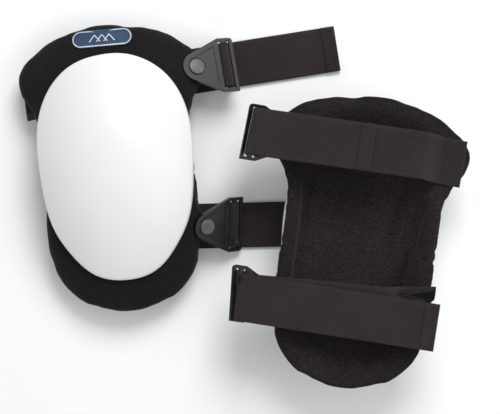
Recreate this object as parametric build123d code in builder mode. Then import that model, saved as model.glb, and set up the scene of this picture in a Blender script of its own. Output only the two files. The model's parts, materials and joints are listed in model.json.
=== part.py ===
from build123d import *
import os
from math import asin, cos, radians, sin, sqrt

# A pair of strap-on knee pads. Each pad is drawn once in its own frame: the knee's
# length runs along Y with the thigh end at +Y, the hard cap faces +Z, and the strap
# plates stand on the +X side. All sizes are in millimetres.

# ---- pad: outline and curvature ----
thigh_end = 121.5          # centre of the pad to its thigh end
shin_end = 121.5           # centre of the pad to its shin end
wing_half_width = 79.5     # half width across the wings
wing_height = 80.0         # height of the wing tips above the pad's centre
waist_half_width = 65.5    # half width beside the knee
shoulder_half_width = 50.0  # half width near both ends, where the ends round over
thigh_shoulder_height = 109.5
shin_shoulder_height = 101.0
spine_radius = 300.0       # lengthwise curve of the outer surface
waist_side_radius = 153.0  # crosswise curve at the pad's centre
wing_side_radius = 217.0   # flatter crosswise curve at the wings
blank_margin = 10.5        # flat blank that the outline is cut from, past the pad's edge

# ---- pad: layers ----
cover_thickness = 1.5
foam_thickness = 9.0
liner_thickness = 1.5
bond_line = 0.05           # adhesive between the layers

# ---- hard cap ----
cap_thigh_end = 93.0
cap_shin_end = 93.0
cap_half_width = 63.5
cap_widest_height = 20.0
cap_rise = 18.0            # top of the dome above the pad's surface
cap_crown_height = 2.0     # where along the knee the dome is highest
cap_side_radius = 95.0
cap_length_radius = 177.0
cap_wall = 3.0
cap_foot_width = 6.0       # inturned, bonded to the foam core
cap_foot_thickness = 1.5
window_clearance = 0.2
cushion_clearance = 0.3

# ---- label ----
label_length = 50.0
label_width = 15.0
label_thickness = 0.8
label_center = (-3.5, 109.0)

# ---- strap plates and rivets ----
rivet_head_diameter = 13.5
rivet_head_height = 2.0
rivet_shank_radius = 3.0
rivet_head_gap = 0.1
rivet_clearance = 0.06
upper_rivet_inset = 8.0    # in from the wing tips
upper_rivet_drop = 3.5
lower_rivet_overhang = 2.5  # out past the waist
lower_rivet_height = -55.0
washer_radius = 8.0
washer_thickness = 1.2
washer_gap = 0.5           # a flat washer bridges the hollow curve of the liner
ear_radius = 9.5          # pad material around each rivet
plate_thickness = 2.6
plate_gap = 0.3
plate_nose_radius = 12.0
slot_side_wall = 2.5       # plate left beside a slot's ends
plate_length = 34.0        # rivet to the outer bar's edge
plate_shoulder = 21.0      # rivet to where the sides become parallel
plate_corner_radius = 3.0
plate_rib_width = 4.2
plate_rib_height = 1.0
plate_recess_depth = 0.8
plate_recess_clearance = 0.5
slot_side_clearance = 1.5  # beside the webbing, at each edge
slot_slack = 1.4           # over the webbing's thickness
inner_slot_distance = 22.5
outer_slot_distance = 29.5

# ---- straps ----
strap_width = 38.0
strap_thickness = 1.8
tab_length = 28.0          # stiffened end with the hook patch
hook_thickness = 1.2
hook_margin = 3.0
layer_gap = 0.3            # between webbing layers that lie on each other
seam_gap = 0.3             # webbing split at a tab's fold
swivel_gap = 0.5           # webbing split around a rivet
anchor_inset = 4.0         # webbing's sewn end, in from the pad's edge
anchor_sewn_length = 12.0
sewn_gap = 0.8             # webbing lies flat on the liner's hollow curve
ear_clearance = 4.0        # level webbing runs on past the ear before it climbs
slot_run_out = 1.5         # webbing leaves a slot square to the plate
turn_radius = 5.0          # where webbing leaves the outer slot
turn_share = 0.75          # or this much of its fall, where that is less
swivel_cut_margin = 0.5    # round cut about a rivet, past the webbing's edge
swivel_notch = 6.5         # webbing's edge left off behind the cut, as room to turn
climb_slope = 0.3          # rise of the webbing as it starts up to its plate
slot_lean = 0.4            # lean of the webbing as it enters the inner slot
sewn_drop = 1.0            # fall of the webbing over its sewn length
settling_length = 38.0     # sewn end to where the webbing lies level

# ---- how the pair lies ----
front_turn = 5.0           # degrees, pad lying on its liner, cap up
back_turn = -7.5           # degrees, pad lying on its cap, liner up
pad_spacing_x = 198.0
pad_spacing_y = -61.1

pad_thickness = cover_thickness + foam_thickness + liner_thickness
curvature_at_center = 1 / waist_side_radius
curvature_slope = (curvature_at_center - 1 / wing_side_radius) / wing_height
blank_half_width = wing_half_width + blank_margin
blank_half_length = max(thigh_end, shin_end) + blank_margin
slot_width = strap_thickness + slot_slack
slot_length = strap_width + 2 * slot_side_clearance
plate_width = slot_length + 2 * slot_side_wall
swivel_cut_radius = strap_width / 2 + swivel_cut_margin

rivets = {
    "upper": (wing_half_width - upper_rivet_inset, wing_height - upper_rivet_drop),
    "lower": (waist_half_width + lower_rivet_overhang, lower_rivet_height),
}
strap_edges = {"upper": wing_half_width, "lower": waist_half_width}


def side_radius(y):
    """Crosswise radius of the pad's outer surface, flatter towards the thigh."""
    return 1 / (curvature_at_center - curvature_slope * y)


def crown(x, y):
    """Height of the pad's outer surface."""
    spine = sqrt(spine_radius**2 - y**2) - spine_radius
    return spine + sqrt(side_radius(y) ** 2 - x**2) - side_radius(y)


def layer(top_depth, bottom_depth):
    """Blank of one curved layer between two depths under the outer surface."""
    with BuildPart() as blank:
        for step in range(-4, 5):
            y = blank_half_length * step / 4
            radius = side_radius(y)
            half_angle = asin(blank_half_width / radius)
            top_radius, bottom_radius = radius - top_depth, radius - bottom_depth
            center = crown(0, y) - radius
            reach, drop = sin(half_angle), cos(half_angle)
            with BuildSketch(Plane.XZ.offset(-y)):
                with BuildLine():
                    top = ThreePointArc(
                        (-top_radius * reach, center + top_radius * drop),
                        (0, center + top_radius),
                        (top_radius * reach, center + top_radius * drop),
                    )
                    bottom = ThreePointArc(
                        (-bottom_radius * reach, center + bottom_radius * drop),
                        (0, center + bottom_radius),
                        (bottom_radius * reach, center + bottom_radius * drop),
                    )
                    Line(top @ 0, bottom @ 0)
                    Line(top @ 1, bottom @ 1)
                make_face()
        loft()
    return blank.part


def symmetric_outline(right_side):
    """Smooth closed outline through points down its right side, mirrored to the left."""
    left_side = [(-x, y) for x, y in reversed(right_side[1:-1])]
    with BuildSketch() as outline:
        with BuildLine():
            Spline(*right_side, *left_side, periodic=True)
        make_face()
    return outline.sketch


def pad_outline():
    """Outline of the pad with an ear around each rivet."""
    with BuildSketch() as outline:
        add(
            symmetric_outline(
                [
                    (0, thigh_end),
                    (shoulder_half_width / 2, thigh_end - 3.5),
                    (shoulder_half_width, thigh_shoulder_height),
                    (wing_half_width - 10, (thigh_shoulder_height + wing_height) / 2),
                    (wing_half_width, wing_height),
                    (wing_half_width - 3, wing_height - 16),
                    (waist_half_width + 3.5, wing_height - 33),
                    (waist_half_width, wing_height / 4),
                    (waist_half_width, -wing_height / 4),
                    (waist_half_width, -shin_end / 2),
                    (shoulder_half_width + 10, -shin_shoulder_height + 17),
                    (shoulder_half_width, -shin_shoulder_height),
                    (shoulder_half_width / 2, -shin_end + 4.5),
                    (0, -shin_end),
                ]
            )
        )
        with Locations(*rivets.values()):
            Circle(ear_radius)
    return outline.sketch


def cap_outline(growth=0.0):
    """Egg-shaped outline of the cap, grown outwards or, with a minus, inwards."""
    width = cap_half_width + growth
    top = cap_thigh_end + growth
    bottom = cap_shin_end + growth
    return symmetric_outline(
        [
            (0, top),
            (width * 0.42, top - 5),
            (width * 0.72, top - 19),
            (width * 0.95, cap_widest_height + 26),
            (width, cap_widest_height),
            (width * 0.97, cap_widest_height - 35),
            (width * 0.87, cap_widest_height - 67),
            (width * 0.66, 23 - bottom),
            (width * 0.4, 6 - bottom),
            (0, -bottom),
        ]
    )


def cut_out(blank, outline):
    """The part of a blank that lies inside an outline."""
    with BuildPart() as piece:
        add(blank)
        extrude(outline, amount=200, both=True, mode=Mode.INTERSECT)
    return piece.part


def dome(inset, outline):
    """Domed block under the cap's surface, inset from it, inside an outline."""
    crosswise = cap_side_radius - inset
    axis_height = cap_rise - cap_length_radius
    top = cap_rise - inset
    depth = -60.0
    edge = cap_half_width + 10
    edge_height = top - crosswise + sqrt(crosswise**2 - edge**2)
    with BuildPart() as block:
        with BuildSketch(Plane.XZ.offset(-cap_crown_height)):
            with BuildLine():
                arch = ThreePointArc((-edge, edge_height), (0, top), (edge, edge_height))
                Polyline(arch @ 0, (-edge, depth), (edge, depth), arch @ 1)
            make_face()
        revolve(axis=Axis((0, cap_crown_height, axis_height), (1, 0, 0)))
        extrude(outline, amount=-depth - 10, both=True, mode=Mode.INTERSECT)
    return block.part


def surface_plane(x, y, heading=0.0):
    """Plane touching the pad's outer surface at a point, its X along a heading."""
    step = 0.5
    slope_x = (crown(x + step, y) - crown(x - step, y)) / (2 * step)
    slope_y = (crown(x, y + step) - crown(x, y - step)) / (2 * step)
    normal = Vector(-slope_x, -slope_y, 1).normalized()
    forward = Vector(cos(radians(heading)), sin(radians(heading)), 0)
    along = (forward - normal * forward.dot(normal)).normalized()
    return Plane(origin=(x, y, crown(x, y)), x_dir=along, z_dir=normal)


rivet_planes = {place: surface_plane(*spot) for place, spot in rivets.items()}
pad_shape = pad_outline()


def rivet_holes():
    """Drill a clearance hole for each rivet through the layer being built."""
    for plane in rivet_planes.values():
        with BuildSketch(plane.offset(-pad_thickness)) as hole:
            Circle(rivet_shank_radius + rivet_clearance)
        extrude(hole.sketch, amount=2 * pad_thickness, both=True, mode=Mode.SUBTRACT)


# ---- cover: the outer fabric, with a window for the cap ----
with BuildPart() as cover:
    add(cut_out(layer(0, cover_thickness), pad_shape))
    extrude(cap_outline(window_clearance), amount=100, both=True, mode=Mode.SUBTRACT)
    rivet_holes()

# ---- foam core ----
with BuildPart() as foam_core:
    foam_top = cover_thickness + bond_line
    add(cut_out(layer(foam_top, cover_thickness + foam_thickness), pad_shape))
    rivet_holes()

# ---- liner: the fabric against the knee ----
with BuildPart() as liner:
    liner_top = cover_thickness + foam_thickness + bond_line
    add(cut_out(layer(liner_top, pad_thickness), pad_shape))
    rivet_holes()

# ---- cap: hard domed shell whose inturned foot is bonded to the foam core ----
foot_top = cover_thickness - cap_foot_thickness
foot_inset = cap_wall + cap_foot_width
with BuildPart() as cap_hollow:
    add(dome(cap_wall, cap_outline(-cap_wall)))
    add(layer(foot_top, 50), mode=Mode.SUBTRACT)
with BuildPart() as cap:
    add(dome(0, cap_outline()))
    add(layer(cover_thickness, 50), mode=Mode.SUBTRACT)
    add(cap_hollow.part, mode=Mode.SUBTRACT)
    add(cut_out(layer(foot_top - 1, cover_thickness + 1), cap_outline(-foot_inset)), mode=Mode.SUBTRACT)

# ---- cap cushion: foam that fills the cap over its foot ----
with BuildPart() as cap_cushion:
    add(dome(cap_wall + cushion_clearance, cap_outline(-cap_wall - cushion_clearance)))
    add(layer(foot_top - cushion_clearance, 50), mode=Mode.SUBTRACT)

# ---- label: patch sewn on the cover above the cap ----
with BuildPart() as label:
    add(layer(-label_thickness, 0))
    with BuildSketch() as patch:
        with Locations(label_center):
            SlotOverall(label_length, label_width)
    extrude(patch.sketch, amount=200, both=True, mode=Mode.INTERSECT)

pad_parts = {
    "cover": cover.part,
    "foam_core": foam_core.part,
    "liner": liner.part,
    "cap": cap.part,
    "cap_cushion": cap_cushion.part,
    "label": label.part,
}

cap_top = cap.part.bounding_box().max.Z
# a pad that lies on its liner stands on the straps that pass under its edges
floor_level = liner.part.bounding_box().min.Z - strap_thickness - 2 * layer_gap


def strap_plate(plane):
    """Moulded plate: round nose at the rivet, two slots and two ribs along its sides."""
    shoulder = plate_width / 2
    base = plane.offset(plate_gap)
    with BuildPart() as plate:
        with BuildSketch(base) as profile:
            Circle(plate_nose_radius)
            with Locations(((plate_shoulder + plate_length) / 2, 0)):
                Rectangle(plate_length - plate_shoulder, plate_width)
            make_hull()
            corners = profile.vertices().group_by(Axis(plane.origin, plane.x_dir))[-1]
            fillet(corners, plate_corner_radius)
        extrude(amount=plate_thickness)
        with BuildSketch(base.offset(plate_thickness)):
            Circle(plate_nose_radius)
            with Locations((plate_shoulder, 0)):
                Rectangle(0.01, plate_width)
            make_hull()
            offset(amount=-plate_rib_width, mode=Mode.SUBTRACT)
        extrude(amount=plate_rib_height)
        with BuildSketch(base.offset(plate_thickness - plate_recess_depth)):
            Circle(rivet_head_diameter / 2 + plate_recess_clearance)
        extrude(amount=plate_thickness, mode=Mode.SUBTRACT)
        with BuildSketch(base):
            Circle(rivet_shank_radius + rivet_clearance)
            for distance in (inner_slot_distance, outer_slot_distance):
                with Locations((distance, 0)):
                    Rectangle(slot_width, slot_length)
        extrude(amount=plate_thickness + plate_rib_height, mode=Mode.SUBTRACT)
    return plate.part


def rivet(plane):
    """Rivet with a low domed head over the plate."""
    seat = plate_gap + plate_thickness - plate_recess_depth + rivet_head_gap
    tail = pad_thickness + washer_gap + washer_thickness
    with BuildPart() as fastener:
        with BuildSketch(plane.offset(seat)):
            Circle(rivet_head_diameter / 2)
        extrude(amount=rivet_head_height)
        rim = fastener.faces().sort_by(Axis(plane.origin, plane.z_dir))[-1].edges()
        fillet(rim, rivet_head_height * 0.6)
        with BuildSketch(plane.offset(seat)):
            Circle(rivet_shank_radius)
        extrude(amount=-(seat + tail))
    return fastener.part


def washer(plane):
    """Burr washer on the liner side of a rivet."""
    with BuildPart() as ring:
        with BuildSketch(plane.offset(-pad_thickness - washer_gap)):
            Circle(washer_radius)
            Circle(rivet_shank_radius, mode=Mode.SUBTRACT)
        extrude(amount=-washer_thickness)
    return ring.part


def station(point, tangent, across):
    """Plane square to a run of webbing at a point, its X across the webbing."""
    tangent = Vector(tangent).normalized()
    across = (Vector(across) - tangent * tangent.dot(Vector(across))).normalized()
    return Plane(origin=point, x_dir=across, z_dir=tangent)


def webbing(stations):
    """Flat webbing through stations, straight from each to the next."""
    with BuildPart() as run:
        for plane in stations:
            with BuildSketch(plane):
                Rectangle(strap_width, strap_thickness)
        loft(ruled=True)
    return run.part


# ---- how each strap lies: degrees from the pad's X axis, and free lengths ----
straps = {
    ("pad_1", "upper"): {"plate": 4.5, "run": 4.0, "free": 92.0, "fastened": False},
    ("pad_1", "lower"): {"plate": -7.0, "run": -3.5, "free": 74.0, "fastened": False},
    ("pad_2", "upper"): {"plate": 4.0, "run": 0.5, "free": 98.0, "fastened": True},
    ("pad_2", "lower"): {"plate": -4.0, "run": -2.0, "free": 160.0, "fastened": True},
}


def around_rivet(blank, plate, radius, keep):
    """Trim webbing to a round cut about its rivet: keep the inside or the outside."""
    with BuildPart() as piece:
        add(blank)
        with BuildSketch(plate):
            Circle(radius)
        extrude(amount=2 * blank_half_width, both=True, mode=keep)
    return piece.part


def joined(*blanks):
    """Lengths of webbing that meet end to end, as one piece."""
    with BuildPart() as piece:
        for blank in blanks:
            add(blank)
    return piece.part


def strap_pieces(place, lie):
    """One strap in its pad's frame: sewn to the far edge, through its plate, free end."""
    rivet_x, rivet_y = rivets[place]
    plate = surface_plane(rivet_x, rivet_y, lie["plate"])
    fastened = lie["fastened"]
    turn = radians(lie["run"])
    along = Vector(cos(turn), sin(turn), 0)
    across = Vector(-sin(turn), cos(turn), 0)
    down = Vector(0, 0, -1)
    half = strap_thickness / 2

    def on_plate(distance, height):
        return plate.origin + plate.x_dir * distance + plate.z_dir * height

    def on_run(distance, level):
        return Vector(rivet_x + along.X * distance, rivet_y + along.Y * distance, level)

    # the run under the knee, from its sewn end to the rivet
    level = floor_level + half
    anchor_distance = -(rivet_x + strap_edges[place] - anchor_inset) / cos(turn)
    anchor_spot = on_run(anchor_distance, 0)
    anchor = surface_plane(anchor_spot.X, anchor_spot.Y, lie["run"])
    sewn_depth = pad_thickness + sewn_gap + half
    sewn_end = anchor.origin - anchor.z_dir * sewn_depth
    sewn_length = anchor.x_dir * anchor_sewn_length
    rivet_back = -swivel_cut_radius / 2
    run = [
        station(sewn_end, anchor.x_dir, anchor.y_dir),
        station(sewn_end + sewn_length + down * sewn_drop, anchor.x_dir, anchor.y_dir),
        station(on_run(anchor_distance + settling_length, level), along, across),
        station(on_run(rivet_back, level), along, across),
    ]

    # up to the inner slot, over the middle bar and down through the outer slot
    climb = [
        station(on_run(rivet_back + swivel_notch, level), along, across),
        station(on_run(ear_radius + ear_clearance, level), along - down * climb_slope, across),
        station(
            on_plate(inner_slot_distance, -slot_run_out),
            plate.z_dir + plate.x_dir * slot_lean,
            plate.y_dir,
        ),
    ]
    bar = (inner_slot_distance + outer_slot_distance) / 2
    bend = (outer_slot_distance - inner_slot_distance) / 2
    bar_height = plate_gap + plate_thickness / 2
    loop = [
        station(
            on_plate(bar - bend * cos(angle), bar_height + bend * sin(angle)),
            plate.x_dir * sin(angle) + plate.z_dir * cos(angle),
            plate.y_dir,
        )
        for angle in (radians(45 * step) for step in range(5))
    ]
    slot_exit = on_plate(outer_slot_distance, -slot_run_out)
    loop.append(station(slot_exit, plate.z_dir * -1, plate.y_dir))

    # the free end: on over the floor, or folded back over the run and fastened
    if fastened:
        way = along * -1
        free_level = level - strap_thickness - hook_thickness - layer_gap
    else:
        way = along
        free_level = floor_level + hook_thickness + half
    exit_distance = (slot_exit - on_run(0, slot_exit.Z)).dot(along)
    fall = slot_exit.Z - free_level
    radius = min(turn_radius, turn_share * fall)
    corner = on_run(exit_distance, free_level + radius)
    away = [station(corner, down, across)]
    for angle in (radians(45), radians(90)):
        point = corner + way * radius * (1 - cos(angle)) + down * radius * sin(angle)
        away.append(station(point, way * sin(angle) + down * cos(angle), across))
    reach = 1 if way.dot(along) > 0 else -1
    seam_distance = exit_distance + reach * (lie["free"] - tab_length)
    tab_start = seam_distance + reach * seam_gap
    tab_end = seam_distance + reach * tab_length
    seam = station(on_run(seam_distance, free_level), way, across)
    inside = swivel_cut_radius - swivel_gap / 2
    outside = swivel_cut_radius + swivel_gap / 2

    pieces = {
        "plate": strap_plate(plate),
        "rivet": rivet(plate),
        "washer": washer(plate),
        "strap": joined(
            webbing(run), around_rivet(webbing([run[-1], *climb]), plate, inside, Mode.INTERSECT)
        ),
    }
    if fastened:
        free_back = station(on_run(rivet_back, free_level), way, across)
        loop_end = station(on_run(rivet_back + swivel_notch, free_level), way, across)
        through = webbing([*climb, *loop, *away, loop_end])
        pieces["strap_loop"] = around_rivet(through, plate, outside, Mode.SUBTRACT)
        pieces["strap_end"] = joined(
            around_rivet(webbing([away[-1], free_back]), plate, inside, Mode.INTERSECT),
            webbing([free_back, seam]),
        )
    else:
        through = webbing([*climb, *loop, *away, seam])
        pieces["strap_end"] = around_rivet(through, plate, outside, Mode.SUBTRACT)
    pieces["tab"] = webbing(
        [
            station(on_run(tab_start, free_level), way, across),
            station(on_run(tab_end, free_level), way, across),
        ]
    )
    hook_side = down * (-1 if fastened else 1)
    with BuildPart() as hook_patch:
        middle = on_run((tab_start + tab_end) / 2, free_level) + hook_side * half
        with BuildSketch(Plane(origin=middle, x_dir=along, z_dir=hook_side)):
            Rectangle(tab_length - seam_gap - hook_margin, strap_width - hook_margin)
        extrude(amount=hook_thickness)
    pieces["hook_patch"] = hook_patch.part

    # the tab folds about its outer face, away from what its hooks grip
    fold_point = on_run(seam_distance, free_level) - hook_side * half
    axes = {
        "swivel": (plate.origin, plate.z_dir),
        "peel": (fold_point, way.cross(hook_side * -1)),
    }
    return pieces, axes


# ---- place both pads: one on its liner, one on its cap ----
def turned(angle):
    """Direction of a pad's X axis after a turn about Z."""
    return Vector(cos(radians(angle)), sin(radians(angle)), 0)


pad_planes = {
    "pad_1": Plane(origin=(0, 0, -floor_level), x_dir=turned(front_turn), z_dir=(0, 0, 1)),
    "pad_2": Plane(
        origin=(pad_spacing_x, pad_spacing_y, cap_top),
        x_dir=turned(180 + back_turn),
        z_dir=(0, 0, -1),
    ),
}

placed = {}
joint_axes = {}
for pad, plane in pad_planes.items():
    for name, part in pad_parts.items():
        placed[f"{pad}_{name}"] = part.moved(plane.location)
for (pad, place), lie in straps.items():
    plane = pad_planes[pad]
    pieces, axes = strap_pieces(place, lie)
    for name, part in pieces.items():
        placed[f"{pad}_{place}_{name}"] = part.moved(plane.location)
    for motion, (point, direction) in axes.items():
        tip = plane.from_local_coords(point + direction)
        point = plane.from_local_coords(point)
        joint_axes[f"{pad}_{place}_{motion}"] = (point, tip - point)

# ---- stand the pair on the floor, centred on its origin ----
boxes = [part.bounding_box() for part in placed.values()]
low = [min(getattr(box.min, axis) for box in boxes) for axis in "XYZ"]
high = [max(getattr(box.max, axis) for box in boxes) for axis in "XYZ"]
shift = Vector(-(low[0] + high[0]) / 2, -(low[1] + high[1]) / 2, -low[2])
joint_axes = {name: (point + shift, way) for name, (point, way) in joint_axes.items()}

os.makedirs("parts", exist_ok=True)
for name, part in placed.items():
    piece = part.moved(Location(shift))
    piece.label = name
    export_step(piece, f"parts/{name}.step")
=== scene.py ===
"""Looks for a pair of strap-on knee pads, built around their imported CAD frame.

Each pad is dressed in its own frame: the knee's length along Y with the thigh end at +Y,
the hard cap towards +Z and the strap plates on the +X side. All sizes are in metres.
"""

from __future__ import annotations

import json
import logging
import math
from dataclasses import dataclass
from enum import Enum

import bmesh
import bpy
from mathutils import Matrix, Vector
from mathutils.bvhtree import BVHTree

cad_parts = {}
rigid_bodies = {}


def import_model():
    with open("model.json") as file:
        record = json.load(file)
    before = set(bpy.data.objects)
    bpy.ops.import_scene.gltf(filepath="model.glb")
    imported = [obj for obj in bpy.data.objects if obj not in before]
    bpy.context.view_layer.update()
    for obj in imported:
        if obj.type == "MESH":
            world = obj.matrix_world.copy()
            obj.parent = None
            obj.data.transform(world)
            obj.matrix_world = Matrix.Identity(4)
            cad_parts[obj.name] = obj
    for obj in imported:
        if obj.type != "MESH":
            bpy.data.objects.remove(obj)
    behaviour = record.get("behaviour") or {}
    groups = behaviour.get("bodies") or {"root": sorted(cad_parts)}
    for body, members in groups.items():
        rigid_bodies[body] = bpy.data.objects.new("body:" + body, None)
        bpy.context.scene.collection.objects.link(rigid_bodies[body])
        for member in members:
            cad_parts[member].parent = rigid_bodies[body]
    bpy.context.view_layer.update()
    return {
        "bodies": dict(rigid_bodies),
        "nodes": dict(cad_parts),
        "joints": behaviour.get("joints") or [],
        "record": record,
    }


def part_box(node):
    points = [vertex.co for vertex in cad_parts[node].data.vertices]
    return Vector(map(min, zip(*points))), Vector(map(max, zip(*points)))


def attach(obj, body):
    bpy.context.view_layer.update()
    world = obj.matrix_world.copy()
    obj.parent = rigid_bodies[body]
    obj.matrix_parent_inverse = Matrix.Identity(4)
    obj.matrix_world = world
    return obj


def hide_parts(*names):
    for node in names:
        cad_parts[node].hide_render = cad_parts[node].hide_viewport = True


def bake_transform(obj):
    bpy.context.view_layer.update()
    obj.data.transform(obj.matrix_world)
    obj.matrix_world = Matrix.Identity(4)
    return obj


LOG = logging.getLogger("knee_pads")
MM = 0.001
MERGE_DISTANCE = 0.02 * MM
VIEW_OFFSET = Vector((0.0889, -0.0283))


# ---------------------------------------------------------------- shader tools


class Wire:
    """A shader value that Python arithmetic can combine."""

    def __init__(self, shader: "Shader", socket: bpy.types.NodeSocket) -> None:
        """Wrap an output socket of a shader's node tree."""
        self.shader = shader
        self.socket = socket

    def _math(self, operation: str, first: object, second: object = 0.0) -> "Wire":
        """Add a Math node for one operation on two values."""
        return self.shader.node("ShaderNodeMath", {"operation": operation}, (first, second))

    def __add__(self, other: object) -> "Wire":
        """Sum."""
        return self._math("ADD", self, other)

    __radd__ = __add__

    def __sub__(self, other: object) -> "Wire":
        """Difference."""
        return self._math("SUBTRACT", self, other)

    def __rsub__(self, other: object) -> "Wire":
        """Difference, reflected."""
        return self._math("SUBTRACT", other, self)

    def __mul__(self, other: object) -> "Wire":
        """Product."""
        return self._math("MULTIPLY", self, other)

    __rmul__ = __mul__

    def __pow__(self, other: object) -> "Wire":
        """Power."""
        return self._math("POWER", self, other)

    def absolute(self) -> "Wire":
        """Size without sign."""
        return self._math("ABSOLUTE", self)

    def sine(self) -> "Wire":
        """Sine of the value in radians."""
        return self._math("SINE", self)

    def over(self, threshold: float) -> "Wire":
        """1 above a threshold and 0 below it."""
        return self._math("GREATER_THAN", self, threshold)


class Shader:
    """One material's node tree around a Principled shader."""

    def __init__(self, name: str) -> None:
        """Start an empty material.

        Args:
            name: The material's name.
        """
        self.material = bpy.data.materials.new(name)
        self.material.use_nodes = True
        self.tree = self.material.node_tree
        self.principled = self.tree.nodes["Principled BSDF"]

    def node(self, kind: str, settings: dict, values: object, output: int = 0) -> Wire:
        """Add any node.

        Args:
            kind: The node's type name.
            settings: Attributes set before its sockets, "ramp" being a ramp's stops.
            values: Values or wires for its sockets, in order or by name.
            output: Which output to return.

        Returns:
            The chosen output.
        """
        made = self.tree.nodes.new(kind)
        for key, value in settings.items():
            if key == "ramp":
                self._ramp(made, value)
            else:
                setattr(made, key, value)
        pairs = values.items() if isinstance(values, dict) else enumerate(values)
        for key, value in pairs:
            self._feed(made.inputs[key], value)
        return Wire(self, made.outputs[output])

    def _ramp(self, made: bpy.types.Node, stops: list) -> None:
        """Set a colour ramp's stops.

        Args:
            made: The ramp node.
            stops: Pairs of a position and a grey value or a colour.
        """
        elements = made.color_ramp.elements
        for index, (position, shade) in enumerate(stops):
            element = elements[index] if index < 2 else elements.new(position)
            element.position = position
            element.color = shade if isinstance(shade, tuple) else (shade, shade, shade, 1)

    def _feed(self, socket: bpy.types.NodeSocket, value: object) -> None:
        """Link a wire to a socket, or set its value.

        Args:
            socket: The input socket.
            value: A wire, a plain value, or None to leave the socket as it is.
        """
        if isinstance(value, Wire):
            self.tree.links.new(value.socket, socket)
        elif value is not None:
            socket.default_value = value

    def place(self) -> Wire:
        """Object coordinates."""
        return self.node("ShaderNodeTexCoord", {}, (), 3)

    def along_cloth(self) -> Wire:
        """The piece's own UV map."""
        return self.node("ShaderNodeTexCoord", {}, (), 2)

    def noise(self, place: Wire, scale: float, detail: float = 3.0) -> Wire:
        """Fractal noise from 0 to 1 at a scale per metre."""
        return self.node(
            "ShaderNodeTexNoise", {}, {"Vector": place, "Scale": scale, "Detail": detail}
        )

    def cells(self, place: Wire, scale: float) -> Wire:
        """Distance to the nearest cell centre at a scale per metre."""
        return self.node("ShaderNodeTexVoronoi", {}, {"Vector": place, "Scale": scale})

    def split(self, place: Wire) -> tuple[Wire, Wire]:
        """First and second component of a vector."""
        parts = self.node("ShaderNodeSeparateXYZ", {}, (place,))
        return parts, Wire(self, parts.socket.node.outputs[1])

    def ramp(self, factor: Wire, *stops: tuple) -> Wire:
        """Colour ramp over a factor."""
        return self.node("ShaderNodeValToRGB", {"ramp": list(stops)}, (factor,))

    def blend(self, factor: Wire, first: tuple, second: tuple) -> Wire:
        """Mix two colours by a factor."""
        sockets = {0: factor, 6: first, 7: second}
        return self.node("ShaderNodeMix", {"data_type": "RGBA"}, sockets, 2)

    def bump(self, height: Wire, distance: float, strength: float = 1.0) -> Wire:
        """Bump from a height, its full range standing a distance proud."""
        values = {"Strength": strength, "Distance": distance, "Height": height}
        return self.node("ShaderNodeBump", {}, values)

    def finish(self, **sockets: object) -> bpy.types.Material:
        """Feed the Principled shader and return the material.

        Args:
            **sockets: Socket names with underscores for spaces, and their values.

        Returns:
            The finished material.
        """
        for name, value in sockets.items():
            self._feed(self.principled.inputs[name.replace("_", " ")], value)
        return self.material


# ---------------------------------------------------------------- finishes


@dataclass(frozen=True)
class CapPlastic:
    """Smooth white moulded plastic with faint scuffs."""

    colour: tuple = (0.76, 0.76, 0.755, 1)
    scuffed: tuple = (0.72, 0.715, 0.705, 1)

    def build(self) -> bpy.types.Material:
        """Make the material."""
        shader = Shader("cap_plastic")
        place = shader.place()
        cloud = shader.noise(place, 18.0, 4.0)
        grain = shader.noise(place, 900.0, 2.0)
        return shader.finish(
            Base_Color=shader.blend(cloud ** 2.0, self.colour, self.scuffed),
            Roughness=cloud * 0.14 + 0.24,
            Normal=shader.bump(grain + cloud * 4.0, 0.00003),
            Specular_IOR_Level=0.45,
        )


@dataclass(frozen=True)
class Fabric:
    """Dark cloth: a fine knit with a brushed nap and stray pale fibres."""

    name: str
    dark: tuple
    light: tuple
    knit: float = 900.0
    nap: float = 600.0
    depth: float = 0.0002
    fibres: float = 0.0
    sheen: float = 0.05

    def build(self) -> bpy.types.Material:
        """Make the material."""
        shader = Shader(self.name)
        place = shader.place()
        knit = shader.cells(place, self.knit)
        nap = shader.noise(place, self.nap, 5.0)
        cloud = shader.noise(place, 14.0, 3.0)
        speck = shader.ramp(shader.noise(place, 620.0, 1.0), (0.64, 0.0), (0.74, 1.0))
        tone = nap * 0.55 + cloud * 0.45 - knit * 0.3
        tone = tone + speck * self.fibres
        colour = shader.ramp(tone, (0.28, self.dark), (0.78, self.light))
        return shader.finish(
            Base_Color=colour,
            Roughness=0.86 + cloud * 0.12,
            Normal=shader.bump(nap * 1.2 - knit * 0.8, self.depth),
            Sheen_Weight=self.sheen,
            Sheen_Roughness=0.45,
            Specular_IOR_Level=0.2,
        )


@dataclass(frozen=True)
class Webbing:
    """Knitted elastic webbing, drawn on the strap's own length and width in metres."""

    name: str
    dark: tuple
    light: tuple
    half_width: float = 0.019
    rib: float = 0.0011
    row: float = 0.0008

    def build(self) -> bpy.types.Material:
        """Make the material."""
        shader = Shader(self.name)
        cloth = shader.along_cloth()
        length, across = shader.split(cloth)
        ribs = (across * (2 * math.pi / self.rib)).sine()
        rows = (length * (2 * math.pi / self.row) + ribs * 1.4).sine()
        edge = (across.absolute() - (self.half_width - 0.0021)).absolute()
        selvedge = 1 - (edge * 1400.0 - 0.35).over(0.0)
        nap = shader.noise(shader.place(), 700.0, 4.0)
        cloud = shader.noise(shader.place(), 30.0, 3.0)
        height = rows * 0.35 + ribs * 0.4 + nap * 0.9 + selvedge * 0.8
        tone = nap * 0.5 + cloud * 0.3 + rows * 0.07 + ribs * 0.07 + selvedge * 0.16
        return shader.finish(
            Base_Color=shader.ramp(tone, (0.2, self.dark), (0.72, self.light)),
            Roughness=0.82 + nap * 0.14,
            Normal=shader.bump(height, 0.00022),
            Sheen_Weight=0.05,
            Sheen_Roughness=0.5,
            Specular_IOR_Level=0.25,
        )


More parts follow.
